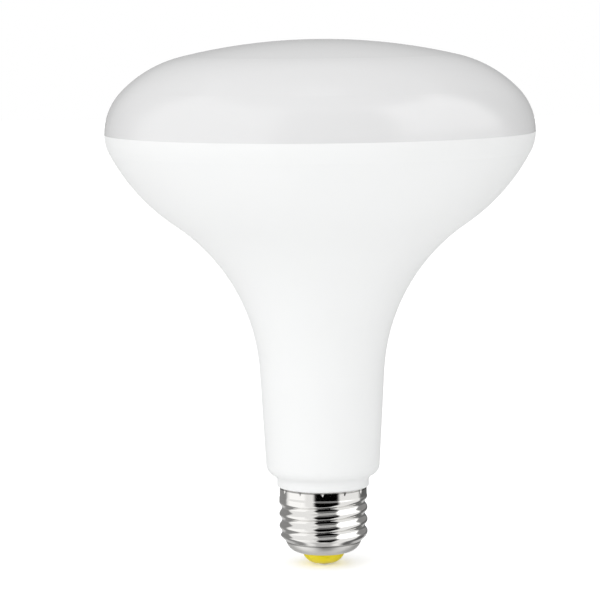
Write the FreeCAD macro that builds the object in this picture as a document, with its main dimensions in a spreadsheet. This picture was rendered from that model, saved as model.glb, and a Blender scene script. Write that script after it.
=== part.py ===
"""Reflector bulb: a moulded diffuser on a flared housing, with a rolled screw cap.

The origin is the centre of the end contact's face and +Z runs along the axis, up to the diffuser.
All lengths are in millimetres and all angles in degrees.
"""

import FreeCAD, Part
import math
import os

import Sketcher
from FreeCAD import Vector

# Driving sizes: name, value, what it is.
SIZES = [
    ("rim_diameter", 127.0, "widest diameter, at the seam between diffuser and housing"),
    ("lens_edge_radius", 18.1, "diffuser, rounded edge up from the seam"),
    ("lens_edge_end", 45.5, "slope of the surface where that edge ends"),
    ("brow_radius", 36.5, "diffuser, between the edge and the flat crown"),
    ("crown_edge", 13.4, "slope where the crown starts, an arc about the axis"),
    ("lens_spigot_depth", 3.0, "spigot that centres the diffuser in the housing"),
    ("lens_fit", 0.15, "clearance round and under that spigot"),
    ("rim_wall", 2.4, "width of the housing's rim, which the diffuser sits on"),
    ("housing_height", 105.5, "seam above the top edge of the screw shell"),
    ("rim_roll_radius", 12.3, "housing, rounding just under the seam"),
    ("rim_roll_angle", 27.7, "how far that rounding turns"),
    ("bowl_radius", 58.7, "housing, convex bowl"),
    ("waist_radius", 56.9, "housing, concave waist from the bowl to the neck"),
    ("neck_draft", 3.2, "slope of the neck's side"),
    ("neck_foot_diameter", 33.87, "neck, where its foot starts to round in"),
    ("foot_radius", 3.4, "rounded foot of the neck"),
    ("collar_fillet", 2.0, "fillet between the foot and the collar"),
    ("collar_overhang", 0.7, "collar's side outside the shell's band"),
    ("collar_height", 1.7, "collar's side above the shell's top edge"),
    ("collar_edge_radius", 0.5, "rounded lower edge of the collar"),
    ("cap_length", 23.6, "shell's top edge above the contact's face"),
    ("band_step", 0.15, "plain band at the top of the shell, inside the crests"),
    ("band_length", 2.4, "length of that band"),
    ("band_blend", 0.8, "length over which the band widens to the thread"),
    ("thread_diameter", 26.3, "over the crests of the thread"),
    ("thread_pitch", 3.6286, "seven turns to the inch"),
    ("thread_depth", 0.84, "crest to root, in two equal arcs"),
    ("thread_land", 0.34, "narrow strip left along the crest"),
    ("groove_low_end", 1.96, "lower end of the groove under the shoulder, on the +X side"),
    ("groove_high_end", 1.77, "upper end of the groove under the shell's top edge"),
    ("run_in_turns", 0.8, "turns over which the groove fades out at the top"),
    ("run_out_turns", 0.5, "turns over which it fades out at the bottom"),
    ("sheet", 0.35, "thickness of the shell's sheet metal"),
    ("shoulder_height", 10.0, "where the shell starts to round in under the thread"),
    ("shoulder_radius", 2.4, "that rounding, down to the cone"),
    ("cone_angle", 46.5, "slope of the cone from the axis"),
    ("cone_length", 1.54, "length of the cone, down to the crease"),
    ("lip_radius", 4.4, "rounded lip from the crease to the hole"),
    ("lip_height", 3.8, "edge of the hole above the contact's face"),
    ("stake_count", 12, "punch marks that lock the shell to the housing"),
    ("stake_width", 1.5, "mark at the shell's top edge"),
    ("stake_height", 1.5, "mark from that edge down to its point"),
    ("stake_depth", 0.24, "how deep the mark is pressed at the edge"),
    ("stake_bearing", -1.5, "first mark, turned from the front towards +X"),
    ("spigot_fit", 0.06, "clearance between the housing's spigot and the shell"),
    ("nose_inset", 2.6, "end face of that spigot inside its side"),
    ("nose_height", 6.5, "end face above the contact's face, on the insulator"),
    ("nose_taper", 40.0, "slope of the spigot's end from the axis"),
    ("insulator_radius", 4.3, "rounded side of the insulator"),
    ("insulator_foot_diameter", 4.3, "flat foot of the insulator"),
    ("insulator_fit", 0.1, "clearance in the shell's hole"),
    ("flange_overlap", 0.45, "flange of the insulator past the shell's hole"),
    ("contact_diameter", 4.2, "head of the contact rivet"),
    ("contact_height", 0.3, "how far the head stands out"),
    ("contact_edge_radius", 0.14, "rounded edge of the head"),
    ("shank_diameter", 1.8, "shank of the rivet"),
    ("shank_cover", 0.6, "insulator left above the shank"),
    ("shank_fit", 0.05, "clearance round and above the shank"),
]

# How the thread's groove is cut: cross-sections per turn, how far they reach past the blank,
# how far they lift clear of it where the groove has faded out, and how far above the blank's
# surface the crests would meet.
SECTIONS_PER_TURN = (12, 13, 11, 14)
REACH = 1.2
CLEARANCE = 0.12
SKIM = 0.03

# How far a stake's triangle runs over the shell's top edge.
OVERRUN = 0.5

NODES = ("diffuser_lens", "housing", "screw_shell", "base_insulator", "centre_contact")

document = FreeCAD.newDocument("ReflectorBulb")


def make_sheet():
    """The spreadsheet that holds the driving sizes."""
    table = document.addObject("Spreadsheet::Sheet", "Sizes")
    for row, (alias, value, meaning) in enumerate(SIZES, start=1):
        table.set(f"A{row}", alias)
        table.set(f"B{row}", str(value))
        table.setAlias(f"B{row}", alias)
        table.set(f"C{row}", meaning)
    document.recompute()
    return table


sheet = make_sheet()


def size(alias):
    """A driving size, read back from the spreadsheet."""
    return float(sheet.get(alias))


def polar(centre, radius, angle):
    """The point at that distance and angle from a centre, in a sketch's plane."""
    return (
        centre[0] + radius * math.cos(math.radians(angle)),
        centre[1] + radius * math.sin(math.radians(angle)),
    )


def bearing(centre, point):
    """The angle from a centre to a point."""
    return math.degrees(math.atan2(point[1] - centre[1], point[0] - centre[0]))


def above_chord(first, second, radius):
    """The centre of the arc of that radius from one point to the next, bulging down and outwards."""
    across, up = second[0] - first[0], second[1] - first[1]
    chord = math.hypot(across, up)
    off = math.sqrt(radius**2 - (chord / 2) ** 2) / chord
    return (first[0] + second[0]) / 2 - off * up, (first[1] + second[1]) / 2 + off * across


def along_to_circle(point, angle, centre, radius):
    """The place near the point where the line through it at that angle leaves the circle."""
    ux, uy = math.cos(math.radians(angle)), math.sin(math.radians(angle))
    off = (point[0] - centre[0], point[1] - centre[1])
    ahead = -(off[0] * ux + off[1] * uy)
    reach = math.sqrt(ahead**2 - off[0] ** 2 - off[1] ** 2 + radius**2)
    step = min((ahead - reach, ahead + reach), key=abs)
    return point[0] + step * ux, point[1] + step * uy


def hole_radius():
    """The shell's hole: the insulator's widest place and its clearance."""
    return size("insulator_foot_diameter") / 2 + size("insulator_radius") + size("insulator_fit")


class Outline:
    """A closed outline in a body's XZ plane, where X is the radius and Y is the height.

    Curves are added in order round the outline. Constraints tie them to the spreadsheet.
    """

    def __init__(self, body, name):
        plane = next(o for o in body.Origin.OriginFeatures if o.Role == "XZ_Plane")
        self.sketch = body.newObject("Sketcher::SketchObject", name)
        self.sketch.AttachmentSupport = (plane, [""])
        self.sketch.MapMode = "FlatFace"
        self.ends = []
        self.last = None

    def start(self, point):
        """Where the outline begins."""
        self.last = point

    def line(self, point):
        """A straight edge to the point."""
        a, b = self.last, point
        edge = Part.LineSegment(Vector(a[0], a[1], 0), Vector(b[0], b[1], 0))
        number = self.sketch.addGeometry(edge)
        self.ends.append((1, 2))
        self.last = point
        if abs(a[0] - b[0]) < 1e-9:
            self.tie("Vertical", number)
        elif abs(a[1] - b[1]) < 1e-9:
            self.tie("Horizontal", number)
        return number

    def arc(self, centre, radius, start, stop):
        """An arc from one angle to another, counter-clockwise where the second is larger."""
        circle = Part.Circle(Vector(centre[0], centre[1], 0), Vector(0, 0, 1), radius)
        low, high = math.radians(min(start, stop)), math.radians(max(start, stop))
        number = self.sketch.addGeometry(Part.ArcOfCircle(circle, low, high))
        self.ends.append((1, 2) if stop > start else (2, 1))
        self.last = polar(centre, radius, stop)
        return number

    def tie(self, kind, *what):
        """A constraint with no size."""
        return self.sketch.addConstraint(Sketcher.Constraint(kind, *what))

    def bind(self, name, expression, kind, *what):
        """A constraint whose value comes from the spreadsheet."""
        number = self.tie(kind, *what)
        self.sketch.renameConstraint(number, name)
        self.sketch.setExpression(f"Constraints.{name}", expression)

    def radius(self, curve, name, expression):
        """The radius of an arc."""
        value = self.sketch.Geometry[curve].Radius
        self.bind(name, expression, "Radius", curve, value)

    def place(self, curve, name, across=None, height=None, at="end"):
        """Ties a curve's end, start or centre to a distance from the axis, a height, or both."""
        spot = 3 if at == "centre" else self.ends[curve][0 if at == "start" else 1]
        point = self.sketch.getPoint(curve, spot)
        if across is not None:
            self.bind(f"{name}_across", across, "DistanceX", -1, 1, curve, spot, point.x)
        if height is not None:
            self.bind(f"{name}_height", height, "DistanceY", -1, 1, curve, spot, point.y)

    def measure(self, name, curve):
        """The height of a curve's end, for another outline to take over."""
        spot = self.ends[curve][1]
        height = self.sketch.getPoint(curve, spot).y
        number = self.tie("DistanceY", -1, 1, curve, spot, height)
        self.sketch.setDriving(number, False)
        self.sketch.renameConstraint(number, name)

    def on_axis(self, curve, at="end"):
        """Keeps a curve's end, start or centre on the axis of revolution."""
        spot = 3 if at == "centre" else self.ends[curve][0 if at == "start" else 1]
        self.tie("PointOnObject", curve, spot, -2)

    def close(self, smooth=()):
        """Joins each curve to the next, tangent after those named in smooth."""
        count = len(self.ends)
        for number in range(count):
            after = (number + 1) % count
            kind = "Tangent" if number in smooth else "Coincident"
            self.tie(kind, number, self.ends[number][1], after, self.ends[after][0])


def revolved(body, outline):
    """The body's outline turned once round the axis."""
    solid = body.newObject("PartDesign::Revolution", f"{body.Name}_turned")
    solid.Profile = outline.sketch
    solid.ReferenceAxis = (outline.sketch, ["V_Axis"])
    solid.Angle = 360
    return solid


def new_body(name):
    """An empty body whose name is also its label."""
    return document.addObject("PartDesign::Body", name)


# Sizes that several pieces share, as the spreadsheet's expressions.
SEAM = "Sizes.cap_length + Sizes.housing_height"
BAND = "Sizes.thread_diameter / 2 - Sizes.band_step"
BAND_FOOT = "Sizes.cap_length - Sizes.band_length"
BORE = "Sizes.thread_diameter / 2 - Sizes.thread_depth - Sizes.sheet"
BORE_STEP = "(Sizes.thread_depth - Sizes.band_step)"
HOLE = "Sizes.insulator_foot_diameter / 2 + Sizes.insulator_radius + Sizes.insulator_fit"
SHANK_END = "Sizes.nose_height - Sizes.shank_cover"

seam_height = size("cap_length") + size("housing_height")
rim_radius = size("rim_diameter") / 2


def make_lens():
    """The diffuser: a dome of three tangent arcs, with a spigot that centres it in the housing."""
    body = new_body("diffuser_lens")
    shape = Outline(body, "lens_outline")
    edge, brow = size("lens_edge_radius"), size("brow_radius")
    edge_end, brow_end = 90.0 - size("lens_edge_end"), 90.0 - size("crown_edge")
    edge_centre = (rim_radius - edge, seam_height)
    brow_centre = polar(edge_centre, edge - brow, edge_end)
    crown_start = polar(brow_centre, brow, brow_end)
    crown = crown_start[0] / math.cos(math.radians(brow_end))
    crown_centre = polar(crown_start, -crown, brow_end)
    top = crown_centre[1] + crown
    spigot_radius = rim_radius - size("rim_wall") - size("lens_fit")
    spigot_end = seam_height - size("lens_spigot_depth")

    shape.start((0.0, top))
    crown_arc = shape.arc(crown_centre, crown, 90.0, brow_end)
    brow_arc = shape.arc(brow_centre, brow, brow_end, edge_end)
    edge_arc = shape.arc(edge_centre, edge, edge_end, 0.0)
    seat = shape.line((spigot_radius, seam_height))
    side = shape.line((spigot_radius, spigot_end))
    floor = shape.line((0.0, spigot_end))
    shape.line((0.0, top))
    shape.close(smooth=(crown_arc, brow_arc))

    shape.on_axis(crown_arc, "centre")
    shape.radius(brow_arc, "brow_radius", "Sizes.brow_radius")
    shape.radius(edge_arc, "edge_radius", "Sizes.lens_edge_radius")
    edge_slope, crown_slope = "cos(Sizes.lens_edge_end * 1 deg)", "cos(Sizes.crown_edge * 1 deg)"
    edge_top = f"{SEAM} + Sizes.lens_edge_radius * {edge_slope}"
    brow_rise = f"Sizes.brow_radius * ({crown_slope} - {edge_slope})"
    shape.place(brow_arc, "edge_end", height=edge_top)
    shape.place(crown_arc, "brow_end", height=f"{edge_top} + {brow_rise}")
    shape.place(edge_arc, "edge_centre", height=SEAM, at="centre")
    shape.place(edge_arc, "rim", "Sizes.rim_diameter / 2", SEAM)
    shape.place(seat, "spigot", "Sizes.rim_diameter / 2 - Sizes.rim_wall - Sizes.lens_fit")
    shape.place(side, "spigot_end", height=f"{SEAM} - Sizes.lens_spigot_depth")
    shape.on_axis(floor)
    return revolved(body, shape)


def make_housing():
    """The housing: rolled rim, bowl, waist, neck and collar, with a spigot inside the screw shell."""
    body = new_body("housing")
    shape = Outline(body, "housing_outline")
    roll, bowl, waist = size("rim_roll_radius"), size("bowl_radius"), size("waist_radius")
    foot, fillet, edge = size("foot_radius"), size("collar_fillet"), size("collar_edge_radius")
    draft, cap = size("neck_draft"), size("cap_length")
    band = size("thread_diameter") / 2 - size("band_step")
    collar_radius = band + size("collar_overhang")

    roll_centre = (rim_radius - roll, seam_height)
    roll_end = -size("rim_roll_angle")
    bowl_centre = polar(roll_centre, roll - bowl, roll_end)
    foot_across = size("neck_foot_diameter") / 2 - foot * math.cos(math.radians(draft))
    fillet_centre = (collar_radius + fillet, cap + size("collar_height"))
    fillet_rise = math.sqrt((foot + fillet) ** 2 - (fillet_centre[0] - foot_across) ** 2)
    foot_centre = (foot_across, fillet_centre[1] + fillet_rise)
    foot_end = bearing(foot_centre, fillet_centre)
    neck_foot = polar(foot_centre, foot, -draft)
    beside_foot = polar(neck_foot, waist, -draft)
    up = (math.sin(math.radians(draft)), math.cos(math.radians(draft)))
    gap = (bowl_centre[0] - beside_foot[0], bowl_centre[1] - beside_foot[1])
    reach = gap[0] * up[0] + gap[1] * up[1]
    aside = gap[0] * up[1] - gap[1] * up[0]
    neck_length = reach - math.sqrt((bowl + waist) ** 2 - aside**2)
    waist_centre = (beside_foot[0] + neck_length * up[0], beside_foot[1] + neck_length * up[1])
    bowl_end = bearing(bowl_centre, waist_centre)

    band_bore = band - size("sheet")
    thread_bore = size("thread_diameter") / 2 - size("thread_depth") - size("sheet")
    step = band_bore - thread_bore
    step_top = cap - size("band_length")
    spigot_radius = thread_bore - size("spigot_fit")
    nose_radius, nose = spigot_radius - size("nose_inset"), size("nose_height")
    taper_top = nose + size("nose_inset") / math.tan(math.radians(size("nose_taper")))
    recess_radius = rim_radius - size("rim_wall")
    recess_floor = seam_height - size("lens_spigot_depth") - size("lens_fit")

    shape.start((rim_radius, seam_height))
    roll_arc = shape.arc(roll_centre, roll, 0.0, roll_end)
    bowl_arc = shape.arc(bowl_centre, bowl, roll_end, bowl_end)
    waist_arc = shape.arc(waist_centre, waist, 180.0 + bowl_end, 180.0 - draft)
    neck = shape.line(neck_foot)
    foot_arc = shape.arc(foot_centre, foot, -draft, foot_end)
    fillet_arc = shape.arc(fillet_centre, fillet, 180.0 + foot_end, 180.0)
    collar = shape.line((collar_radius, cap + edge))
    edge_arc = shape.arc((collar_radius - edge, cap + edge), edge, 0.0, -90.0)
    seat = shape.line((band_bore - size("spigot_fit"), cap))
    band_side = shape.line((band_bore - size("spigot_fit"), step_top))
    slope = shape.line((spigot_radius, step_top - step))
    spigot_side = shape.line((spigot_radius, taper_top))
    taper = shape.line((nose_radius, nose))
    nose_face = shape.line((0.0, nose))
    shape.line((0.0, recess_floor))
    floor = shape.line((recess_radius, recess_floor))
    shape.line((recess_radius, seam_height))
    shape.line((rim_radius, seam_height))
    shape.close(smooth=(roll_arc, bowl_arc, waist_arc, neck, foot_arc, fillet_arc, collar, edge_arc))

    shape.place(roll_arc, "rim", "Sizes.rim_diameter / 2", SEAM, at="start")
    shape.place(roll_arc, "roll_centre", height=SEAM, at="centre")
    shape.radius(roll_arc, "roll_radius", "Sizes.rim_roll_radius")
    roll_drop = "Sizes.rim_roll_radius * sin(Sizes.rim_roll_angle * 1 deg)"
    shape.place(roll_arc, "roll_end", height=f"{SEAM} - {roll_drop}")
    shape.radius(bowl_arc, "bowl_radius", "Sizes.bowl_radius")
    shape.radius(waist_arc, "waist_radius", "Sizes.waist_radius")
    shape.place(neck, "neck_foot", "Sizes.neck_foot_diameter / 2")
    shape.bind("neck_draft", "-90 - Sizes.neck_draft", "Angle", neck, math.radians(-90.0 - draft))
    shape.radius(foot_arc, "foot_radius", "Sizes.foot_radius")
    shape.radius(fillet_arc, "collar_fillet", "Sizes.collar_fillet")
    shape.place(fillet_arc, "collar_top", height="Sizes.cap_length + Sizes.collar_height")
    shape.place(collar, "collar", f"{BAND} + Sizes.collar_overhang")
    shape.radius(edge_arc, "collar_edge", "Sizes.collar_edge_radius")
    shape.place(seat, "seat", f"{BAND} - Sizes.sheet - Sizes.spigot_fit", "Sizes.cap_length")
    shape.place(band_side, "step", height=BAND_FOOT)
    shape.place(slope, "spigot", f"{BORE} - Sizes.spigot_fit", f"{BAND_FOOT} - {BORE_STEP}")
    taper_height = "Sizes.nose_height + Sizes.nose_inset / tan(Sizes.nose_taper * 1 deg)"
    shape.place(spigot_side, "taper_top", height=taper_height)
    nose_size = f"{BORE} - Sizes.spigot_fit - Sizes.nose_inset"
    shape.place(taper, "nose", nose_size, "Sizes.nose_height")
    shape.on_axis(nose_face)
    recess = f"{SEAM} - Sizes.lens_spigot_depth - Sizes.lens_fit"
    shape.place(floor, "recess", "Sizes.rim_diameter / 2 - Sizes.rim_wall", recess)
    return revolved(body, shape)


def make_blank():
    """The screw shell before its thread: band, shoulder, cone, crease and lip, with the stakes."""
    body = new_body("shell_blank")
    shape = Outline(body, "blank_outline")
    wall, cap = size("sheet"), size("cap_length")
    hole, low = hole_radius(), size("lip_height")
    round_off, wide = size("shoulder_radius"), size("thread_diameter") / 2
    shoulder = (wide - round_off, size("shoulder_height"))
    slope = -size("cone_angle")
    crease = polar(polar(shoulder, round_off, slope), size("cone_length"), slope - 90.0)
    lip = size("lip_radius")
    lip_centre = above_chord((hole, low), crease, lip)
    band, band_foot = wide - size("band_step"), cap - size("band_length")
    bore = wide - size("thread_depth") - wall
    inside = polar(crease, -wall, slope)
    along = math.tan(math.radians(size("cone_angle")))
    cone_top = inside[1] + (bore - inside[0]) / along
    inner_crease = along_to_circle(inside, slope - 90.0, lip_centre, lip - wall)
    seat = lip_centre[1] - math.sqrt((lip - wall) ** 2 - (hole - lip_centre[0]) ** 2)

    shape.start((hole, low))
    lip_arc = shape.arc(lip_centre, lip, bearing(lip_centre, (hole, low)), bearing(lip_centre, crease))
    cone = shape.line(polar(shoulder, round_off, slope))
    shoulder_arc = shape.arc(shoulder, round_off, slope, 0.0)
    thread = shape.line((wide, band_foot - size("band_blend")))
    blend = shape.line((band, band_foot))
    side = shape.line((band, cap))
    rim = shape.line((band - wall, cap))
    band_bore = shape.line((band - wall, band_foot))
    step_line = shape.line((bore, band_foot - size("thread_depth") + size("band_step")))
    shape.line((bore, cone_top))
    inner_cone = shape.line(inner_crease)
    inner_end = bearing(lip_centre, (hole, seat))
    inner_arc = shape.arc(lip_centre, lip - wall, bearing(lip_centre, inner_crease), inner_end)
    edge = shape.line((hole, low))
    shape.close(smooth=(cone, shoulder_arc))

    shape.place(edge, "hole", HOLE, "Sizes.lip_height")
    shape.radius(lip_arc, "lip_radius", "Sizes.lip_radius")
    lean = math.radians(90.0 + slope)
    shape.bind("cone_angle", "90 - Sizes.cone_angle", "Angle", cone, lean)
    shape.bind("cone_length", "Sizes.cone_length", "Distance", cone, size("cone_length"))
    shape.radius(shoulder_arc, "shoulder_radius", "Sizes.shoulder_radius")
    shape.place(shoulder_arc, "shoulder", height="Sizes.shoulder_height", at="centre")
    thread_end = f"{BAND_FOOT} - Sizes.band_blend"
    shape.place(thread, "thread", "Sizes.thread_diameter / 2", thread_end)
    shape.place(blend, "band_foot", BAND, BAND_FOOT)
    shape.place(side, "band", height="Sizes.cap_length")
    shape.place(rim, "rim", f"{BAND} - Sizes.sheet")
    shape.place(band_bore, "band_bore", height=BAND_FOOT)
    shape.place(step_line, "step", BORE, f"{BAND_FOOT} - {BORE_STEP}")
    shape.tie("Parallel", inner_cone, cone)
    shape.bind("cone_sheet", "Sizes.sheet", "Distance", inner_cone, 1, cone, wall)
    shape.tie("Coincident", inner_arc, 3, lip_arc, 3)
    shape.radius(inner_arc, "inner_lip", "Sizes.lip_radius - Sizes.sheet")
    shape.measure("seat", inner_arc)
    revolved(body, shape)
    add_stakes(body)
    return body


def add_stakes(body):
    """Triangular marks punched into the shell's top edge, deepest at the edge itself."""
    plane = next(o for o in body.Origin.OriginFeatures if o.Role == "XZ_Plane")
    sketch = body.newObject("Sketcher::SketchObject", "stake_outline")
    sketch.AttachmentSupport = (plane, [""])
    sketch.MapMode = "FlatFace"
    place = f"vector(0; Sizes.cap_length; {BAND} - Sizes.stake_depth)"
    tilt = "atan(Sizes.stake_depth / Sizes.stake_height)"
    turned = "placement(vector(0; 0; 0); rotation(vector(0; 1; 0); Sizes.stake_bearing))"
    tilted = f"placement({place}; rotation(vector(1; 0; 0); -{tilt}))"
    sketch.setExpression("AttachmentOffset", f"{turned} * {tilted}")

    length = math.hypot(size("stake_height"), size("stake_depth"))
    half = size("stake_width") / 2 * (length + OVERRUN) / length
    corners = [Vector(0, -length, 0), Vector(half, OVERRUN, 0), Vector(-half, OVERRUN, 0)]
    for first, second in zip(corners, corners[1:] + corners[:1]):
        sketch.addGeometry(Part.LineSegment(first, second))
    for edge in range(3):
        sketch.addConstraint(Sketcher.Constraint("Coincident", edge, 2, (edge + 1) % 3, 1))
    sketch.addConstraint(Sketcher.Constraint("PointOnObject", 0, 1, -2))
    sketch.addConstraint(Sketcher.Constraint("Symmetric", 1, 1, 1, 2, -2))
    span = "hypot(Sizes.stake_height; Sizes.stake_depth)"
    drop = sketch.addConstraint(Sketcher.Constraint("DistanceY", 0, 1, -1, 1, length))
    sketch.setExpression(f"Constraints[{drop}]", span)
    sketch.addConstraint(Sketcher.Constraint("DistanceY", -1, 1, 0, 2, OVERRUN))
    wide = sketch.addConstraint(Sketcher.Constraint("DistanceX", 1, 2, 1, 1, 2 * half))
    sketch.setExpression(f"Constraints[{wide}]", f"Sizes.stake_width * ({span} + {OVERRUN}) / {span}")

    mark = body.newObject("PartDesign::Pocket", "stake")
    mark.Profile = sketch
    mark.Type = "ThroughAll"
    mark.Reversed = True
    marks = body.newObject("PartDesign::PolarPattern", "stakes")
    marks.Originals = [mark]
    axis = next(o for o in body.Origin.OriginFeatures if o.Role == "Z_Axis")
    marks.Axis = (axis, [""])
    marks.Angle = 360
    marks.setExpression("Occurrences", "Sizes.stake_count")
    body.Tip = marks


def groove_start():
    """The height of the groove's lower end."""
    return size("shoulder_height") - size("groove_low_end")


def groove_turns():
    """The turns from the groove's lower end to its upper end."""
    rise = size("cap_length") - size("groove_high_end") - groove_start()
    return rise / size("thread_pitch")


def smooth_step(part):
    """Goes from 0 to 1 with no corner at either end."""
    part = min(max(part, 0.0), 1.0)
    return part * part * (3 - 2 * part)


def groove_section(turn):
    """The groove's cross-section at a number of turns from its lower end.

    It is a wave of two equal arcs, crest to root, closed outside the blank. Near both ends of the
    groove it lifts out of the blank, so that the thread fades in and out.
    """
    pitch, depth = size("thread_pitch"), size("thread_depth")
    radius = ((pitch / 4) ** 2 + (depth / 2) ** 2) / depth
    half = (pitch - size("thread_land")) / 2
    low_end = smooth_step(1 - turn / size("run_out_turns"))
    high_end = smooth_step(1 - (groove_turns() - turn) / size("run_in_turns"))
    blank = size("thread_diameter") / 2 + (depth + CLEARANCE) * (low_end + high_end)
    middle = groove_start() + pitch * turn
    angle = 2 * math.pi * turn

    def point(distance, height):
        return Vector(distance * math.cos(angle), distance * math.sin(angle), middle + height)

    def wave(height):
        from_root, from_crest = abs(height), pitch / 2 - abs(height)
        if from_root <= pitch / 4:
            depth_here = depth - radius + math.sqrt(radius**2 - from_root**2)
        else:
            depth_here = radius - math.sqrt(radius**2 - from_crest**2)
        return point(blank + SKIM - depth_here, height)

    quarter, flank = pitch / 4, (pitch / 4 + half) / 2
    upper, lower = point(blank + REACH, half), point(blank + REACH, -half)
    edges = [
        Part.Arc(wave(-half), wave(-flank), wave(-quarter)),
        Part.Arc(wave(-quarter), wave(0), wave(quarter)),
        Part.Arc(wave(quarter), wave(flank), wave(half)),
        Part.LineSegment(wave(half), upper),
        Part.LineSegment(upper, lower),
        Part.LineSegment(lower, wave(-half)),
    ]
    return Part.Wire([edge.toShape() for edge in edges])


def groove_volume():
    """Roughly how much metal the groove takes away: its cross-section along its full-depth turns."""
    depth = size("thread_depth")
    area = depth * size("thread_pitch") / 2
    turns = groove_turns() - (size("run_in_turns") + size("run_out_turns")) / 2
    return area * turns * math.pi * (size("thread_diameter") - depth)


def make_shell():
    """The rolled screw shell: the blank with a right-hand groove cut round it.

    A swept helix can't change its depth along the way, so the groove is lofted through its sections.
    The cut is made with no tolerance of its own, which would swallow the thin strip at the crest. It
    is tried with a few counts of sections, and kept once it has taken away what it should.
    """
    blank = make_blank()
    document.recompute()
    groove = document.addObject("Part::Feature", "thread_groove")
    shell = document.addObject("Part::Feature", "screw_shell")
    turns = groove_turns()
    for per_turn in SECTIONS_PER_TURN:
        count = round(turns * per_turn)
        sections = [groove_section(turns * number / count) for number in range(count + 1)]
        groove.Shape = Part.makeLoft(sections, True, False)
        cut = blank.Shape.cut(groove.Shape)
        removed = (blank.Shape.Volume - cut.Volume) / groove_volume()
        if cut.isValid() and len(cut.Solids) == 1 and 0.7 < removed < 1.2:
            shell.Shape = cut.Solids[0]
            return shell
    raise RuntimeError("the thread could not be cut")


def make_insulator():
    """The insulator: a rounded foot through the shell's hole and a flange inside the lip."""
    body = new_body("base_insulator")
    shape = Outline(body, "insulator_outline")
    foot, side = size("insulator_foot_diameter") / 2, size("insulator_radius")
    low, flange = size("contact_height"), hole_radius() + size("flange_overlap")
    seat = document.getObject("blank_outline").getDatum("seat").Value
    top = size("nose_height")
    bore = size("shank_diameter") / 2 + size("shank_fit")
    bore_end = top - size("shank_cover") + size("shank_fit")
    centre = (foot, low + side)
    side_end = math.degrees(math.asin((seat - centre[1]) / side))

    shape.start((bore, low))
    flat = shape.line((foot, low))
    side_arc = shape.arc(centre, side, -90.0, side_end)
    under = shape.line((flange, seat))
    flange_side = shape.line((flange, top))
    shape.line((0.0, top))
    axis = shape.line((0.0, bore_end))
    shape.line((bore, bore_end))
    shape.line((bore, low))
    shape.close(smooth=(flat,))

    bore_size = "Sizes.shank_diameter / 2 + Sizes.shank_fit"
    shape.place(flat, "bore", bore_size, "Sizes.contact_height", at="start")
    shape.place(flat, "foot", "Sizes.insulator_foot_diameter / 2")
    shape.radius(side_arc, "side_radius", "Sizes.insulator_radius")
    shape.place(side_arc, "seat", height="blank_outline.Constraints.seat")
    shape.place(under, "flange", f"{HOLE} + Sizes.flange_overlap")
    shape.place(flange_side, "top", height="Sizes.nose_height")
    shape.on_axis(axis)
    shape.place(axis, "bore_end", height=f"{SHANK_END} + Sizes.shank_fit")
    revolved(body, shape)
    return body


def make_contact():
    """The centre contact: a low rivet head under the insulator, with its shank."""
    body = new_body("centre_contact")
    shape = Outline(body, "contact_outline")
    head, thick = size("contact_diameter") / 2, size("contact_height")
    edge, shank = size("contact_edge_radius"), size("shank_diameter") / 2
    end = size("nose_height") - size("shank_cover")

    shape.start((0.0, 0.0))
    face = shape.line((head - edge, 0.0))
    edge_arc = shape.arc((head - edge, edge), edge, -90.0, 0.0)
    side = shape.line((head, thick))
    under = shape.line((shank, thick))
    shank_side = shape.line((shank, end))
    shape.line((0.0, end))
    shape.line((0.0, 0.0))
    shape.close(smooth=(face, edge_arc))

    shape.tie("Coincident", face, 1, -1, 1)
    shape.radius(edge_arc, "edge_radius", "Sizes.contact_edge_radius")
    shape.place(side, "head", "Sizes.contact_diameter / 2", "Sizes.contact_height")
    shape.place(under, "shank", "Sizes.shank_diameter / 2")
    shape.place(shank_side, "shank_end", height=SHANK_END)
    revolved(body, shape)
    return body


def check_and_write():
    """Stops if anything is broken, else writes one file for each piece."""
    for thing in document.Objects:
        if "Invalid" in thing.State or "Error" in thing.State:
            raise RuntimeError(f"{thing.Label} did not rebuild: {thing.State}")
        if thing.isDerivedFrom("Sketcher::SketchObject") and not thing.FullyConstrained:
            raise RuntimeError(f"{thing.Label} is not fully constrained")
    pieces = [document.getObject(name) for name in NODES]
    for piece in pieces:
        if piece.Shape.isNull() or not piece.Shape.isValid():
            raise RuntimeError(f"{piece.Label} has no valid shape")
    os.makedirs("parts", exist_ok=True)
    for piece in pieces:
        piece.Shape.exportStep(f"parts/{piece.Label}.step")
        print(f"{piece.Label}: {piece.Shape.Volume / 1000:.2f} cm3")


make_lens()
make_housing()
make_shell()
make_insulator()
make_contact()
document.recompute()
check_and_write()
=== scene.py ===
"""Looks of the reflector bulb: diffuser, housing, screw cap and studio."""

import logging
import math
from dataclasses import dataclass
from enum import Enum

import bpy
import numpy as np
from mathutils import Matrix, Vector


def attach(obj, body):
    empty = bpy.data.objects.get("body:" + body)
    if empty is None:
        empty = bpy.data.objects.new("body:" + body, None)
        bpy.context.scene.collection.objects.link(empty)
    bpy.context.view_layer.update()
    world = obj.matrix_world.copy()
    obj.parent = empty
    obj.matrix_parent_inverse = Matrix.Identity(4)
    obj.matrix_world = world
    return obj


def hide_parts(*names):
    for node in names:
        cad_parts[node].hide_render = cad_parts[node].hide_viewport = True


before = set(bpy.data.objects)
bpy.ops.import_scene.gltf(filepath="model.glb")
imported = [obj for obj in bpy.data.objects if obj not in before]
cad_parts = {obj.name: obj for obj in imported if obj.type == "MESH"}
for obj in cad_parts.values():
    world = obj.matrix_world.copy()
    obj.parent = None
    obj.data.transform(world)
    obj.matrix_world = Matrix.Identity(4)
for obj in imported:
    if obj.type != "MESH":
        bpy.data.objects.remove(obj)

LOG = logging.getLogger("reflector_bulb")
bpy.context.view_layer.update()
MM = 0.001

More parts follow.
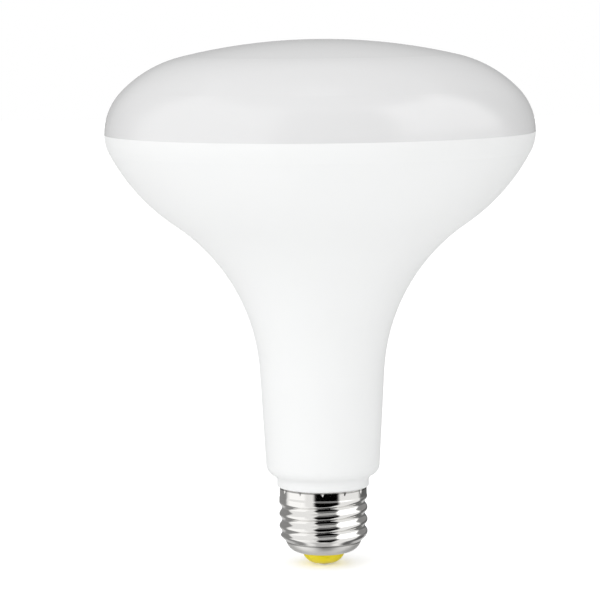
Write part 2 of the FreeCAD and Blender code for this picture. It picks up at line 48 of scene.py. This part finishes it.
Colour = tuple[float, float, float]
Point = tuple[float, float]
Ring = tuple[float, float, float]
Node = bpy.types.Node
Socket = bpy.types.NodeSocket
Tree = bpy.types.NodeTree

WHITE = (1.0, 1.0, 1.0, 1.0)
# Colour of the painted shade: the dark rings painted on the screw shell at its crease and under
# the collar.
PAINTED_SHADE = (0.05, 0.048, 0.044, 1.0)


def linear(red: float, green: float, blue: float) -> Colour:
    """Turn a screen colour of 0 to 255 a channel into a linear one.

    Args:
        red: Red channel.
        green: Green channel.
        blue: Blue channel.

    Returns:
        The linear colour, 0 to 1 a channel.
    """
    def channel(value: float) -> float:
        """Return one channel as linear light."""
        part = value / 255
        return part / 12.92 if part <= 0.04045 else ((part + 0.055) / 1.055) ** 2.4
    return channel(red), channel(green), channel(blue)


def smooth_step(part: np.ndarray) -> np.ndarray:
    """Return 0 to 1 with no corner at either end."""
    part = np.clip(part, 0.0, 1.0)
    return part * part * (3 - 2 * part)


def arc(centre: Point, radius: float, start: float, stop: float, count: int) -> list[Point]:
    """Return points along an arc.

    Args:
        centre: The centre's distance from the axis and its height.
        radius: Radius of the arc.
        start: First angle in degrees.
        stop: Last angle in degrees.
        count: How many points.

    Returns:
        The points, both ends included.
    """
    turns = np.radians(np.linspace(start, stop, count))
    return [(centre[0] + radius * math.cos(t), centre[1] + radius * math.sin(t)) for t in turns]


def direction(bearing: float, height: float) -> Vector:
    """Return a direction from the lamp.

    Args:
        bearing: Degrees about +Z, from the front towards +X.
        height: Degrees above the horizon.

    Returns:
        The direction, of length 1.
    """
    turn, rise = math.radians(bearing), math.radians(height)
    flat = math.cos(rise)
    return Vector((math.sin(turn) * flat, -math.cos(turn) * flat, math.sin(rise)))


def compute(tree: Tree, operation: str, first: Socket, second: Socket | float = 0.0) -> Socket:
    """Add a Math node.

    Args:
        tree: Tree to add it to.
        operation: What it works out.
        first: Its first value.
        second: Its second value, a number or the output of a node.

    Returns:
        The result.
    """
    node = tree.nodes.new("ShaderNodeMath")
    node.operation = operation
    tree.links.new(first, node.inputs[0])
    if isinstance(second, Socket):
        tree.links.new(second, node.inputs[1])
    else:
        node.inputs[1].default_value = second
    return node.outputs["Value"]


def spread(tree: Tree, value: Socket, span: Point, result: Point) -> Socket:
    """Add a node that turns one span of values into another, and holds at the ends.

    Args:
        tree: Tree to add it to.
        value: The value to turn.
        span: The value's two ends.
        result: What they become.

    Returns:
        The turned value.
    """
    node = tree.nodes.new("ShaderNodeMapRange")
    node.inputs["From Min"].default_value, node.inputs["From Max"].default_value = span
    node.inputs["To Min"].default_value, node.inputs["To Max"].default_value = result
    tree.links.new(value, node.inputs["Value"])
    return node.outputs["Result"]


def blend_shaders(tree: Tree, part: Socket, first: Socket, second: Socket) -> Socket:
    """Add a node that blends two shaders.

    Args:
        tree: Tree to add it to.
        part: Share of the second shader.
        first: Shader at a share of 0.
        second: Shader at a share of 1.

    Returns:
        The blended shader.
    """
    node = tree.nodes.new("ShaderNodeMixShader")
    tree.links.new(part, node.inputs["Fac"])
    tree.links.new(first, node.inputs[1])
    tree.links.new(second, node.inputs[2])
    return node.outputs["Shader"]


def add_object(name: str, data: bpy.types.ID) -> bpy.types.Object:
    """Put an object in the scene.

    Args:
        name: Name of the object.
        data: Its mesh or camera.

    Returns:
        The new object.
    """
    thing = bpy.data.objects.new(name, data)
    bpy.context.scene.collection.objects.link(thing)
    return thing


class Grain(Enum):
    """How fine the surface's relief is, as the noise's scale per metre."""

    MOULDED = 900.0
    SATIN = 2600.0
    ROLLED = 1500.0


@dataclass(frozen=True)
class Finish:
    """A finish made of Principled settings, a slight colour variation and a fine relief.

    Attributes:
        name: Name of the material.
        colour: Linear base colour.
        roughness: Mean roughness.
        metallic: 1 for metal, 0 for plastic.
        ior: Index of refraction of the gloss.
        grain: Scale of the relief.
        relief: Strength of the relief.
        relief_depth: Depth of the relief, in metres.
        mottle: Share by which the colour varies.
        mottle_scale: Scale of the colour's variation, per metre.
        roughness_spread: How far the roughness varies either way.
        painted_shade_rings: Height, half width (mm) and strength of rings of painted shade round
            the axis, darkening the base colour where a crease or an overhang shades it.
        satin_foot: Height (mm) under which the finish is satin, and the roughness added there.
        satin_edge: Half the height (mm) over which the satin fades out.
    """

    name: str
    colour: Colour
    roughness: float
    metallic: float = 0.0
    ior: float = 1.46
    grain: Grain = Grain.MOULDED
    relief: float = 0.05
    relief_depth: float = 0.00002
    mottle: float = 0.01
    mottle_scale: float = 55.0
    roughness_spread: float = 0.03
    painted_shade_rings: tuple[Ring, ...] = ()
    satin_foot: Point = (0.0, 0.0)
    satin_edge: float = 0.1

    def build(self) -> bpy.types.Material:
        """Make the node-based material.

        Returns:
            The new material.
        """
        material = bpy.data.materials.new(self.name)
        material.use_nodes = True
        tree = material.node_tree
        shader = tree.nodes["Principled BSDF"]
        shader.inputs["Metallic"].default_value = self.metallic
        shader.inputs["IOR"].default_value = self.ior
        place = tree.nodes.new("ShaderNodeTexCoord")
        cloud = self.noise(tree, place, self.mottle_scale, 3.0)
        fine = self.noise(tree, place, self.grain.value, 2.0)

        colour = self.mottled(tree, cloud)
        # Painted shade: dark rings in the base colour that stand in for the shade in creases and
        # under overhangs.
        for ring in self.painted_shade_rings:
            colour = self.paint_shade_ring(tree, place, colour, ring)
        tree.links.new(colour, shader.inputs["Base Color"])

        least = max(self.roughness - self.roughness_spread, 0.0)
        most = self.roughness + self.roughness_spread
        roughness = spread(tree, fine, (0.0, 1.0), (least, most))
        if self.satin_foot[1]:
            roughness = self.satin(tree, place, roughness)
        tree.links.new(roughness, shader.inputs["Roughness"])

        bump = tree.nodes.new("ShaderNodeBump")
        bump.inputs["Strength"].default_value = self.relief
        bump.inputs["Distance"].default_value = self.relief_depth
        tree.links.new(fine, bump.inputs["Height"])
        tree.links.new(bump.outputs["Normal"], shader.inputs["Normal"])
        return material

    def mottled(self, tree: Tree, cloud: Socket) -> Socket:
        """Vary the base colour a little either way.

        Args:
            tree: Tree to add it to.
            cloud: Noise that it varies with.

        Returns:
            The varied colour.
        """
        mix = tree.nodes.new("ShaderNodeMix")
        mix.data_type = "RGBA"
        darker = [c * (1 - self.mottle) for c in self.colour]
        lighter = [min(c * (1 + self.mottle), 1.0) for c in self.colour]
        mix.inputs["A"].default_value = (*darker, 1.0)
        mix.inputs["B"].default_value = (*lighter, 1.0)
        tree.links.new(cloud, mix.inputs["Factor"])
        return mix.outputs["Result"]

    def satin(self, tree: Tree, place: Node, roughness: Socket) -> Socket:
        """Add roughness under the height of the satin foot.

        Args:
            tree: Tree to add it to.
            place: Texture coordinates.
            roughness: The roughness above it.

        Returns:
            The roughness with the satin foot.
        """
        height, more = self.satin_foot
        ends = ((height - self.satin_edge) * MM, (height + self.satin_edge) * MM)
        added = spread(tree, self.height(tree, place), ends, (more, 0.0))
        return compute(tree, "ADD", roughness, added)

    @classmethod
    def paint_shade_ring(cls, tree: Tree, place: Node, colour: Socket, ring: Ring) -> Socket:
        """Paint shade into the colour: darken it in a narrow ring at one height, as painted shade
        in a crease or under an overhang.

        Args:
            tree: Tree to add it to.
            place: Texture coordinates.
            colour: The colour without the ring.
            ring: Height and half width in millimetres, and strength.

        Returns:
            The colour with the ring of painted shade.
        """
        height, half, strength = ring
        above = compute(tree, "SUBTRACT", cls.height(tree, place), height * MM)
        away = compute(tree, "ABSOLUTE", above)
        mix = tree.nodes.new("ShaderNodeMix")
        mix.data_type = "RGBA"
        mix.inputs["B"].default_value = PAINTED_SHADE
        tree.links.new(spread(tree, away, (0.0, half * MM), (strength, 0.0)), mix.inputs["Factor"])
        tree.links.new(colour, mix.inputs["A"])
        return mix.outputs["Result"]

    @staticmethod
    def height(tree: Tree, place: Node) -> Socket:
        """Read the height on the part.

        Args:
            tree: Tree to add it to.
            place: Texture coordinates.

        Returns:
            The height in metres.
        """
        split = tree.nodes.new("ShaderNodeSeparateXYZ")
        tree.links.new(place.outputs["Object"], split.inputs["Vector"])
        return split.outputs["Z"]

    @staticmethod
    def noise(tree: Tree, place: Node, scale: float, detail: float) -> Socket:
        """Add a noise over the object's own coordinates.

        Args:
            tree: Tree to add it to.
            place: Texture coordinates.
            scale: Noise scale per metre.
            detail: Octaves.

        Returns:
            The noise, 0 to 1.
        """
        node = tree.nodes.new("ShaderNodeTexNoise")
        node.inputs["Scale"].default_value = scale
        node.inputs["Detail"].default_value = detail
        tree.links.new(place.outputs["Object"], node.inputs["Vector"])
        return node.outputs["Fac"]


LENS_FINISH = Finish("diffuser_plastic", (0.817, 0.817, 0.82), 0.21, ior=1.6, grain=Grain.SATIN)
HOUSING_FINISH = Finish("housing_plastic", (0.945, 0.952, 0.95), 0.45, ior=1.22)
SHELL_FINISH = Finish(
    "nickel_plate",
    (0.77, 0.76, 0.74),
    0.09,
    metallic=1.0,
    grain=Grain.ROLLED,
    relief=0.04,
    relief_depth=0.000008,
    mottle=0.02,
    # Painted shade rings: one in the crease at the cone's foot (7.0 mm) and one just under the
    # collar's overhang at the rim (23.2 mm).
    painted_shade_rings=((7.0, 0.3, 0.75), (23.2, 0.3, 0.8)),
    satin_foot=(7.3, 0.36),
)
INSULATOR_FINISH = Finish("insulator_plastic", linear(255, 235, 20), 0.34, ior=1.5)
CONTACT_FINISH = Finish(
    "contact_plate",
    (0.82, 0.81, 0.78),
    0.5,
    metallic=1.0,
    grain=Grain.ROLLED,
    mottle=0.03,
)


def dress(node: str, finish: Finish) -> None:
    """Give a solid of the frame its finish.

    Args:
        node: Name of the solid.
        finish: Its finish.
    """
    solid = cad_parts[node]
    solid.data.materials.clear()
    solid.data.materials.append(finish.build())


@dataclass
class Envelope:
    """The two white mouldings: the diffuser dome and the flared housing under it.

    Attributes:
        lens: Finish of the diffuser.
        housing: Finish of the housing.
    """

    lens: Finish = LENS_FINISH
    housing: Finish = HOUSING_FINISH

    def build(self) -> None:
        """Dress the housing and the diffuser."""
        dress("housing", self.housing)
        dress("diffuser_lens", self.lens)
        LOG.info("envelope: housing and diffuser dressed")


@dataclass
class ScrewShell:
    """The rolled shell with its right-hand thread, its stake marks, its cone and its lip.

    The thread is a wave between equal arcs and a sine, and its depth fades out at both ends.
    Lengths are in millimetres, heights are above the contact's face, angles are in degrees.

    Attributes:
        finish: Finish of the plate.
        crest_radius: Radius over the thread.
        band_radius: Radius of the smooth band above it.
        top: Height of the rim.
        band_foot: Height of the band's lower edge.
        band_blend: Height over which the band steps in.
        pitch: Rise of the thread in a turn.
        depth: Depth of the thread.
        groove_low: Height of the groove's middle where it starts.
        groove_high: Height of the groove's middle where it ends.
        arc_share: Share of the arcs in the wave, the rest being a sine.
        run_in: Turns over which the groove fades at its upper end.
        run_out: Turns over which it fades at its lower end.
        run_clear: How far the faded groove's bottom stands clear of the wall.
        land_skim: How far the crests stand clear of the wall.
        shoulder_height: Height at which the shoulder starts to round.
        shoulder_radius: Radius of the shoulder.
        cone_angle: Angle of the cone to the axis.
        cone_length: Length of the cone's slope.
        lip_radius: Radius of the lip's bulge.
        lip_points: Points along the lip.
        hole: Radius and height of the hole's edge.
        sheet: Thickness of the sheet.
        stake_count: How many stake marks there are.
        stake_bearing: Bearing of one of them from the front.
        stake_width: Width of a mark at the rim.
        stake_height: Height of a mark.
        stake_depth: Depth of a mark at the rim.
        stake_skin: Sheet left over the bore under a mark.
        rim_roll: How far the rim is rolled in, and over what height.
        bore_step: Height over which the bore narrows under the band.
        bore_foot: Height of the bore's lower edge above the crease.
        heel: How far the inner corner lies in from the crease and above it.
        crisp_angle: Angle from which an edge stays sharp.
        steps: Points round the shell.
        rows: Rows of points up to the fine part.
        fine_from: Height above which the rows are closer.
        fine_rows: Rows there.
    """

    finish: Finish = SHELL_FINISH
    crest_radius: float = 13.15
    band_radius: float = 13.0
    top: float = 23.6
    band_foot: float = 21.2
    band_blend: float = 0.8
    pitch: float = 3.6286
    depth: float = 0.84
    groove_low: float = 8.04
    groove_high: float = 21.83
    arc_share: float = 0.1
    run_in: float = 0.8
    run_out: float = 0.5
    run_clear: float = 0.12
    land_skim: float = 0.03
    shoulder_height: float = 10.0
    shoulder_radius: float = 2.4
    cone_angle: float = 46.5
    cone_length: float = 1.54
    lip_radius: float = 4.4
    lip_points: int = 26
    hole: Point = (6.55, 3.8)
    sheet: float = 0.35
    stake_count: int = 12
    stake_bearing: float = -1.5
    stake_width: float = 1.6
    stake_height: float = 1.7
    stake_depth: float = 0.34
    stake_skin: float = 0.02
    rim_roll: Point = (0.27, 0.62)
    bore_step: float = 0.69
    bore_foot: float = 1.1
    heel: Point = (0.24, 0.25)
    crisp_angle: float = 38.0
    steps: int = 360
    rows: int = 150
    fine_from: float = 21.0
    fine_rows: int = 28

    def crease(self) -> Point:
        """Find the crease at the foot of the cone.

        Returns:
            Its radius and height.
        """
        turn = math.radians(self.cone_angle)
        across = self.crest_radius - self.shoulder_radius * (1 - math.cos(turn))
        height = self.shoulder_height - self.shoulder_radius * math.sin(turn)
        return (
            across - self.cone_length * math.sin(turn),
            height - self.cone_length * math.cos(turn),
        )

    def lip_arc(self) -> list[Point]:
        """Lay the lip's outer points.

        Returns:
            Radius and height of each, from the hole out to the crease.
        """
        crease = self.crease()
        across, up = crease[0] - self.hole[0], crease[1] - self.hole[1]
        chord = math.hypot(across, up)
        off = math.sqrt(self.lip_radius**2 - (chord / 2) ** 2) / chord
        centre = (
            (self.hole[0] + crease[0]) / 2 - off * up,
            (self.hole[1] + crease[1]) / 2 + off * across,
        )
        start, stop = (
            math.degrees(math.atan2(end[1] - centre[1], end[0] - centre[0]))
            for end in (self.hole, crease)
        )
        return arc(centre, self.lip_radius, start, stop, self.lip_points)

    def inner_lip(self) -> list[Point]:
        """Lay the lip's inner points, one sheet thickness in.

        Returns:
            Radius and height of each, from the hole outwards.
        """
        outer = self.lip_arc()
        inside: list[Point] = []
        for before, here, after in zip([outer[0], *outer], outer, [*outer[1:], outer[-1]]):
            dx, dy = after[0] - before[0], after[1] - before[1]
            length = math.hypot(dx, dy)
            inside.append((here[0] - dy / length * self.sheet, here[1] + dx / length * self.sheet))
        inside[0] = (self.hole[0], inside[0][1])
        return inside

    def bore(self) -> list[Point]:
        """Lay the plain bore.

        Returns:
            Radius and height of each edge, from the rim down to the lip.
        """
        crease = self.crease()
        wide = self.band_radius - self.sheet
        narrow = self.crest_radius - self.depth - self.sheet
        return [
            (wide, self.top),
            (wide, self.band_foot),
            (narrow, self.band_foot - self.bore_step),
            (narrow, crease[1] + self.bore_foot),
            (crease[0] - self.heel[0], crease[1] + self.heel[1]),
        ]

    def blank_radius(self, height: np.ndarray) -> np.ndarray:
        """Return the shell's radius with no thread, above the crease.

        Args:
            height: Heights in millimetres.

        Returns:
            The radius at each height.
        """
        crease = self.crease()
        turn = math.radians(self.cone_angle)
        rounding = self.shoulder_radius * math.sin(turn)
        below = np.clip(self.shoulder_height - height, 0, rounding)
        inset = np.sqrt(self.shoulder_radius**2 - below**2)
        rounded = self.crest_radius - self.shoulder_radius + inset
        cone = crease[0] + (height - crease[1]) * math.tan(turn)
        radius = np.where(height < self.shoulder_height - rounding, cone, rounded)
        blend = smooth_step((height - self.band_foot + self.band_blend) / self.band_blend)
        rolled = np.clip(1 - (self.top - height) / self.rim_roll[1], 0, 1)
        rim = self.rim_roll[0] * (1 - np.sqrt(1 - rolled**2))
        return radius - (self.crest_radius - self.band_radius) * blend - rim

    def thread_cut(self, away: np.ndarray) -> np.ndarray:
        """Return how deep the thread is rolled.

        Args:
            away: Heights above or below the groove's middle, in millimetres.

        Returns:
            The depth there.
        """
        radius = ((self.pitch / 4) ** 2 + (self.depth / 2) ** 2) / self.depth
        inner = self.depth - radius + np.sqrt(np.maximum(radius**2 - away**2, 0))
        outer_run = np.maximum(self.pitch / 2 - away, 0)
        outer = radius - np.sqrt(np.maximum(radius**2 - outer_run**2, 0))
        arcs = np.where(away <= self.pitch / 4, inner, outer)
        wave = self.depth / 2 * (1 + np.cos(away * 2 * math.pi / self.pitch))
        return wave + self.arc_share * (arcs - wave)

    def groove_radius(self, angle: np.ndarray, height: np.ndarray) -> np.ndarray:
        """Return the radius of the rolled groove's surface.

        Args:
            angle: Angles about the axis, in radians.
            height: Heights in millimetres.

        Returns:
            The radius, without end where there is no groove.
        """
        turns = (self.groove_high - self.groove_low) / self.pitch
        base = np.mod(angle, 2 * math.pi) / (2 * math.pi)
        best = np.full(np.broadcast(angle, height).shape, np.inf)
        for whole in range(-1, int(turns) + 2):
            turn = base + whole
            away = np.abs(height - self.groove_low - self.pitch * turn)
            low_end = smooth_step(1 - turn / self.run_out)
            high_end = smooth_step(1 - (turns - turn) / self.run_in)
            lift = (self.depth + self.run_clear) * (low_end + high_end)
            radius = self.crest_radius + self.land_skim - self.thread_cut(away) + lift
            inside = (turn >= 0) & (turn <= turns) & (away <= self.pitch / 2)
            best = np.minimum(best, np.where(inside, radius, np.inf))
        return best

    def first_stake(self) -> float:
        """Return the first stake mark's angle about the axis, in radians."""
        return math.radians(self.stake_bearing - 90)

    def stake_cut(self, angle: np.ndarray, height: np.ndarray) -> np.ndarray:
        """Return how deep the stake marks are pressed.

        Args:
            angle: Angles about the axis, in radians.
            height: Heights in millimetres.

        Returns:
            The depth at each place.
        """
        step = 2 * math.pi / self.stake_count
        turn = np.mod(angle - self.first_stake() + step / 2, step) - step / 2
        across = np.abs(turn * self.band_radius)
        rise = np.clip(1 - (self.top - height) / self.stake_height, 0, 1)
        half = np.maximum(self.stake_width / 2 * rise, 1e-6)
        return self.stake_depth * np.clip(1 - across / half, 0, 1) * rise

    def outer_wall(self, angles: np.ndarray, heights: np.ndarray) -> np.ndarray:
        """Return the outer wall with its thread and stake marks.

        Args:
            angles: Angles about the axis, in radians.
            heights: Heights in millimetres.

        Returns:
            The radii, a row for each height.
        """
        angle, height = np.meshgrid(angles, heights)
        wall = np.minimum(self.blank_radius(height), self.groove_radius(angle, height))
        skin = np.minimum(wall, self.band_radius - self.sheet + self.stake_skin)
        return np.maximum(wall - self.stake_cut(angle, height), skin)

    def mesh(self) -> bpy.types.Mesh:
        """Build the shell's mesh: lip, outer wall, rim and bore, back to the hole.

        Returns:
            The mesh, in metres.
        """
        angles = self.first_stake() + np.arange(self.steps) * (2 * math.pi / self.steps)
        heights = np.concatenate([
            np.linspace(self.crease()[1], self.fine_from, self.rows),
            np.linspace(self.fine_from, self.top, self.fine_rows)[1:],
        ])
        wall = self.outer_wall(angles, heights)
        rings = [(np.full(self.steps, r), h) for r, h in self.lip_arc()]
        rings += [(wall[k], heights[k]) for k in range(1, len(heights))]
        inside = [*self.bore(), *reversed(self.inner_lip())]
        rings += [(np.full(self.steps, r), h) for r, h in inside]
        points = np.concatenate([
            np.stack([r * np.cos(angles), r * np.sin(angles), np.full(self.steps, h)], 1)
            for r, h in rings
        ]) * MM
        faces = []
        for k in range(len(rings)):
            low, high = k * self.steps, ((k + 1) % len(rings)) * self.steps
            faces += [
                (low + j, low + (j + 1) % self.steps, high + (j + 1) % self.steps, high + j)
                for j in range(self.steps)
            ]
        mesh = bpy.data.meshes.new("screw_shell_rolled")
        mesh.from_pydata([tuple(p) for p in points], [], faces)
        mesh.update()
        return mesh

    def build(self) -> None:
        """Put the shell in the scene in place of the frame's solid."""
        mesh = self.mesh()
        mesh.materials.append(self.finish.build())
        mesh.shade_smooth()
        piece = add_object(mesh.name, mesh)
        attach(piece, "root")
        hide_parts("screw_shell")
        crisp = piece.modifiers.new("crisp_edges", "EDGE_SPLIT")
        crisp.split_angle = math.radians(self.crisp_angle)
        LOG.info("screw shell: %d faces", len(mesh.polygons))


@dataclass
class CapEnd:
    """The yellow insulator and the contact under it.

    Attributes:
        insulator: Finish of the insulator.
        contact: Finish of the contact.
    """

    insulator: Finish = INSULATOR_FINISH
    contact: Finish = CONTACT_FINISH

    def build(self) -> None:
        """Dress the insulator and the contact."""
        dress("base_insulator", self.insulator)
        dress("centre_contact", self.contact)
        LOG.info("cap end: insulator and contact dressed")


@dataclass(frozen=True)
class Glow:
    """A broad soft light in the room's walls or ceiling.

    Attributes:
        bearing: Degrees from the front towards +X.
        height: Degrees above the horizon.
        level: Brightness in the middle.
        focus: Power by which it falls off.
    """

    bearing: float
    height: float
    level: float
    focus: float = 2.0

    def brightness(self, tree: Tree, place: Node) -> Socket:
        """Work out how bright it is in the direction looked in.

        Args:
            tree: The world's tree.
            place: Node that gives the direction.

        Returns:
            The brightness.
        """
        toward = tree.nodes.new("ShaderNodeVectorMath")
        toward.operation = "DOT_PRODUCT"
        toward.inputs[1].default_value = direction(self.bearing, self.height)
        tree.links.new(place.outputs["Generated"], toward.inputs[0])
        facing = compute(tree, "MAXIMUM", toward.outputs["Value"], 0.0)
        return compute(tree, "MULTIPLY", compute(tree, "POWER", facing, self.focus), self.level)


@dataclass(frozen=True)
class Card:
    """A card round the lamp that shows only in gloss, darker or brighter than the white room.

    Attributes:
        name: Name of the card.
        bearings: Degrees from the front towards +X, first and last.
        heights: Degrees above the horizon, first and last.
        level: Its brightness, where the room's is 1.
        soft: Degrees over which its sides fade.
        reach: Distance from the lamp, in metres.
        soft_ends: Degrees over which it fades at the top and bottom, at most.
        middle: Height of the cards' common middle, in metres.
        step: Degrees between its points.
    """

    name: str
    bearings: Point
    heights: Point
    level: float
    soft: float = 8.0
    reach: float = 1.5
    soft_ends: float = 8.0
    middle: float = 0.08
    step: float = 3.0

    @staticmethod
    def fade(values: np.ndarray, ends: Point, soft: float) -> np.ndarray:
        """Thin the card out along one way, unless it goes all the way round.

        Args:
            values: Degrees along that way.
            ends: Where the card starts and ends.
            soft: Degrees over which it fades.

        Returns:
            How solid it is at each value, 0 to 1.
        """
        if ends[1] - ends[0] >= 360:
            return np.ones(len(values))
        return smooth_step(np.minimum(values - ends[0], ends[1] - values) / soft)

    def mesh(self) -> bpy.types.Mesh:
        """Build its patch of a sphere, with its cover as an attribute of the points.

        Returns:
            The mesh.
        """
        columns, lines = (
            int((ends[1] - ends[0]) / self.step) + 2 for ends in (self.bearings, self.heights)
        )
        turns = np.linspace(*self.bearings, columns)
        rises = np.linspace(*self.heights, lines)
        middle = Vector((0, 0, self.middle))
        points = [middle + direction(a, e) * self.reach for e in rises for a in turns]
        faces = [
            (k + j, k + j + 1, k + j + 1 + columns, k + j + columns)
            for k in range(0, (lines - 1) * columns, columns) for j in range(columns - 1)
        ]
        mesh = bpy.data.meshes.new(self.name)
        mesh.from_pydata(points, [], faces)
        upright = self.fade(rises, self.heights, min(self.soft, self.soft_ends))
        cover = np.outer(upright, self.fade(turns, self.bearings, self.soft)).ravel()
        attribute = mesh.attributes.new("cover", "FLOAT", "POINT")
        attribute.data.foreach_set("value", cover.astype(np.float32))
        return mesh

    def material(self) -> bpy.types.Material:
        """Make an even grey that thins out where the cover ends.

        Returns:
            The new material.
        """
        material = bpy.data.materials.new(self.name)
        material.use_nodes = True
        material.cycles.emission_sampling = "NONE"
        tree = material.node_tree
        tree.nodes.remove(tree.nodes["Principled BSDF"])
        cover = tree.nodes.new("ShaderNodeAttribute")
        cover.attribute_name = "cover"
        clear = tree.nodes.new("ShaderNodeBsdfTransparent")
        grey = tree.nodes.new("ShaderNodeEmission")
        grey.inputs["Strength"].default_value = self.level
        surface = blend_shaders(
            tree, cover.outputs["Fac"], clear.outputs["BSDF"], grey.outputs["Emission"]
        )
        tree.links.new(surface, tree.nodes["Material Output"].inputs["Surface"])
        return material

    def build(self) -> None:
        """Put the card in the scene."""
        mesh = self.mesh()
        mesh.materials.append(self.material())
        card = add_object(self.name, mesh)
        card.visible_camera = card.visible_diffuse = card.visible_shadow = False
        card.visible_transmission = card.visible_volume_scatter = False


GLOWS = (
    Glow(0, 0, 0.574),
    Glow(-45, 20, 0.714, 4.0),
    Glow(45, 20, 0.253, 4.0),
    Glow(-90, 15, 0.358),
    Glow(90, 15, 0.252),
    Glow(0, 90, 0.851),
    Glow(180, 25, 0.3),
)

CARDS = (
    Card("front_card", (-29, 46), (-80, 14), 0.0, 9.0),
    Card("front_upper_card", (-27, 45), (8, 58), 0.15, 9.0, 1.45),
    Card("left_box", (-108, -44), (-64, 4), 1.25, 10.0),
    Card("right_box", (40, 112), (6, 60), 1.82),
    Card("back_upper_card", (108, 252), (-9, 60), 0.29),
    Card("back_high_card", (132, 228), (13, 62), 0.43, 8.0, 1.45),
    Card("top_card", (-180, 180), (54, 89.9), 0.333),
    Card("left_low_card", (-192, -106), (-24, 3), 0.3, 12.0, 1.45),
    Card("right_low_card", (102, 192), (-24, 3), 0.14, 18.0, 1.45),
    Card("left_floor_card", (-166, -106), (-66, -16), 0.3, 10.0, 1.55),
    Card("right_floor_card", (104, 166), (-66, -16), 0.14, 12.0, 1.55),
    Card("back_floor_card", (148, 212), (-90, -16), 0.6, 8.0, 1.42),
    Card("under_card", (-180, 180), (-89.9, -70), 0.55, 8.0, 1.4),
)


@dataclass
class Studio:
    """The pale floor, the soft light and the camera of the photograph's view.

    Attributes:
        distance: From the camera to the lamp's axis, in millimetres.
        eye_height: The camera's height above the floor, in millimetres.
        pitch: Degrees that it looks down.
        yaw: Degrees that it is turned to the left.
        roll: Degrees that it is tilted.
        lens: Focal length, in millimetres.
        sensor: Width of the sensor, in millimetres.
        clip: Nearest and farthest distance seen, in metres.
        photo_width: Width of the photograph, in pixels.
        centre_shift: Shift of the picture's middle, in those pixels.
        floor_reach: Half the floor's width, in metres.
        floor_lift: Brightness added to the floor where the camera sees it.
        room_level: Brightness of the room between its glows.
    """

    distance: float = 836.0
    eye_height: float = 170.2
    pitch: float = 6.195
    yaw: float = 0.437
    roll: float = 0.57
    lens: float = 170.0
    sensor: float = 36.0
    clip: Point = (0.05, 50.0)
    photo_width: int = 600
    centre_shift: float = -0.21
    floor_reach: float = 3.0
    floor_lift: float = 0.3
    room_level: float = 0.132

    def camera(self) -> None:
        """Place the camera."""
        data = bpy.data.cameras.new("camera")
        data.lens = self.lens
        data.sensor_width = self.sensor
        data.clip_start, data.clip_end = self.clip
        data.shift_y = self.centre_shift / self.photo_width
        camera = add_object("camera", data)
        turn = (
            Matrix.Rotation(math.radians(self.yaw), 4, "Z")
            @ Matrix.Rotation(math.radians(90 - self.pitch), 4, "X")
            @ Matrix.Rotation(math.radians(-self.roll), 4, "Z")
        )
        place = Matrix.Translation((0, -self.distance * MM, self.eye_height * MM))
        camera.matrix_world = place @ turn
        bpy.context.scene.camera = camera

    def floor(self) -> None:
        """Lay the floor under the contact."""
        reach = self.floor_reach
        mesh = bpy.data.meshes.new("floor")
        corners = [(-reach, -reach, 0), (reach, -reach, 0), (reach, reach, 0), (-reach, reach, 0)]
        mesh.from_pydata(corners, [], [(0, 1, 2, 3)])
        mesh.materials.append(self.floor_material())
        floor = add_object("floor", mesh)
        floor.visible_glossy = False

    def floor_material(self) -> bpy.types.Material:
        """Make the floor's white, which takes the shadow and is clear when seen from below.

        Returns:
            The new material.
        """
        material = bpy.data.materials.new("floor_white")
        material.use_nodes = True
        tree = material.node_tree
        shader = tree.nodes["Principled BSDF"]
        shader.inputs["Base Color"].default_value = WHITE
        shader.inputs["Roughness"].default_value = 1.0
        shader.inputs["Specular IOR Level"].default_value = 0.0
        shader.inputs["Emission Color"].default_value = WHITE
        seen = tree.nodes.new("ShaderNodeLightPath").outputs["Is Camera Ray"]
        lift = compute(tree, "MULTIPLY", seen, self.floor_lift)
        tree.links.new(lift, shader.inputs["Emission Strength"])
        side = tree.nodes.new("ShaderNodeNewGeometry")
        below = compute(tree, "MULTIPLY", side.outputs["Backfacing"], seen)
        clear = tree.nodes.new("ShaderNodeBsdfTransparent")
        surface = blend_shaders(tree, below, shader.outputs["BSDF"], clear.outputs["BSDF"])
        tree.links.new(surface, tree.nodes["Material Output"].inputs["Surface"])
        return material

    def light(self) -> None:
        """Set the room: white where it is seen, also in gloss, and glows that light the lamp."""
        world = bpy.data.worlds.new("studio")
        bpy.context.scene.world = world
        world.use_nodes = True
        tree = world.node_tree
        room = tree.nodes["Background"]
        room.inputs["Color"].default_value = WHITE
        place = tree.nodes.new("ShaderNodeTexCoord")
        first, *others = (glow.brightness(tree, place) for glow in GLOWS)
        strength = compute(tree, "ADD", first, self.room_level)
        for more in others:
            strength = compute(tree, "ADD", strength, more)
        tree.links.new(strength, room.inputs["Strength"])
        white = tree.nodes.new("ShaderNodeBackground")
        white.inputs["Color"].default_value = WHITE
        rays = tree.nodes.new("ShaderNodeLightPath").outputs
        shown = rays["Is Camera Ray"]
        for ray in ("Is Glossy Ray", "Is Transmission Ray"):
            shown = compute(tree, "MAXIMUM", shown, rays[ray])
        surface = blend_shaders(
            tree, shown, room.outputs["Background"], white.outputs["Background"]
        )
        tree.links.new(surface, tree.nodes["World Output"].inputs["Surface"])
        for card in CARDS:
            card.build()

    def build(self) -> None:
        """Build the whole studio."""
        bpy.context.scene.view_settings.view_transform = "Standard"
        self.camera()
        self.floor()
        self.light()
        LOG.info("studio: camera, floor, light and %d cards", len(CARDS))


def main() -> None:
    """Build every piece in order."""
    logging.basicConfig(level=logging.INFO, format="%(message)s")
    Envelope().build()
    ScrewShell().build()
    CapEnd().build()
    Studio().build()


if __name__ == "__main__":
    main()
